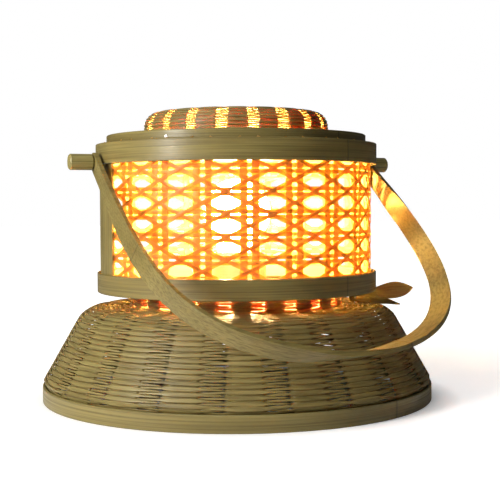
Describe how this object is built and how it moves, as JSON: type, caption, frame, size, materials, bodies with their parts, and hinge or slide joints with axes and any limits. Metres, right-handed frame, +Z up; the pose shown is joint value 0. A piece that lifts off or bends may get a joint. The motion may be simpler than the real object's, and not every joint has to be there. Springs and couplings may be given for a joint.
{
  "type": "woven bamboo lantern lamp",
  "caption": "Table lantern lamp with a basket-woven base, a cane webbing shade between bent hoops, a woven lift-off lid and a swinging bail handle.",
  "frame": {"origin": "centre of the base on the resting plane", "axes": "+Z up, the bail turns about a line along X, and the folded bail points to the front, -Y"},
  "size_m": [0.2594, 0.3, 0.194],
  "materials": {
    "bamboo_weave": "split bamboo strands, satin, olive tan",
    "bamboo_slat": "flat bamboo slats, satin",
    "bamboo_hoop": "bent bamboo bands with the skin side out, satin",
    "bamboo_rod": "bamboo dowel, satin",
    "bamboo_leaf": "thin bamboo blade, matte",
    "cane": "rattan cane webbing, satin",
    "plywood": "raw plywood, matte",
    "steel": "plated steel",
    "brass": "plain",
    "cap_metal": "satin",
    "white_ceramic": "white glazed ceramic, glossy",
    "black_rubber": "moulded rubber",
    "black_glaze": "black vitrite",
    "bulb_glass": "warm frosted envelope",
    "clear_glass": "clear",
    "filament": "glowing filament"
  },
  "bodies": {
    "lantern": {"base_slats": "bamboo_slat", "base_weave": "bamboo_weave", "board_screws": "steel", "cane_webbing": "cane", "cord_grommet": "black_rubber", "foot_inner_hoop": "bamboo_hoop", "foot_nails": "steel", "foot_outer_hoop": "bamboo_hoop", "holder_body": "white_ceramic", "holder_contact": "brass", "holder_screws": "steel", "holder_shell": "brass", "lamp_board": "plywood", "leaf_lower": "bamboo_leaf", "leaf_pin": "steel", "leaf_upper": "bamboo_leaf", "lid_ledge_ring": "bamboo_hoop", "lower_inner_hoop": "bamboo_hoop", "lower_nails": "steel", "lower_outer_hoop": "bamboo_hoop", "neck_hoop": "bamboo_hoop", "peg_left": "bamboo_rod", "peg_right": "bamboo_rod", "strut_left": "bamboo_slat", "strut_right": "bamboo_slat", "top_inner_hoop": "bamboo_hoop", "top_nails": "steel", "top_outer_hoop": "bamboo_hoop"},
    "bail": {"bail_strip": "bamboo_hoop"},
    "lid": {"lid_weave": "bamboo_weave", "lid_slats": "bamboo_slat", "lid_outer_rim": "bamboo_hoop", "lid_inner_rim": "bamboo_hoop", "lid_nail": "steel"},
    "bulb": {"bulb_glass": "bulb_glass", "bulb_cap": "cap_metal", "bulb_insulator": "black_glaze", "bulb_contact": "brass", "bulb_stem": "clear_glass", "bulb_filament": "filament"}
  },
  "joints": [
    {"name": "bail_swing", "type": "hinge", "parent": "lantern", "child": "bail", "pos_m": [0, 0, 0.1558], "axis": [-1, 0, 0], "range_deg": [-12, 259]},
    {"name": "lid_lift", "type": "slide", "parent": "lantern", "child": "lid", "axis": [0, 0, 1], "range_m": [0, 0.08]},
    {"name": "bulb_unscrew", "type": "slide", "parent": "lantern", "child": "bulb", "axis": [0, 0, 1], "range_m": [0, 0.02]}
  ]
}
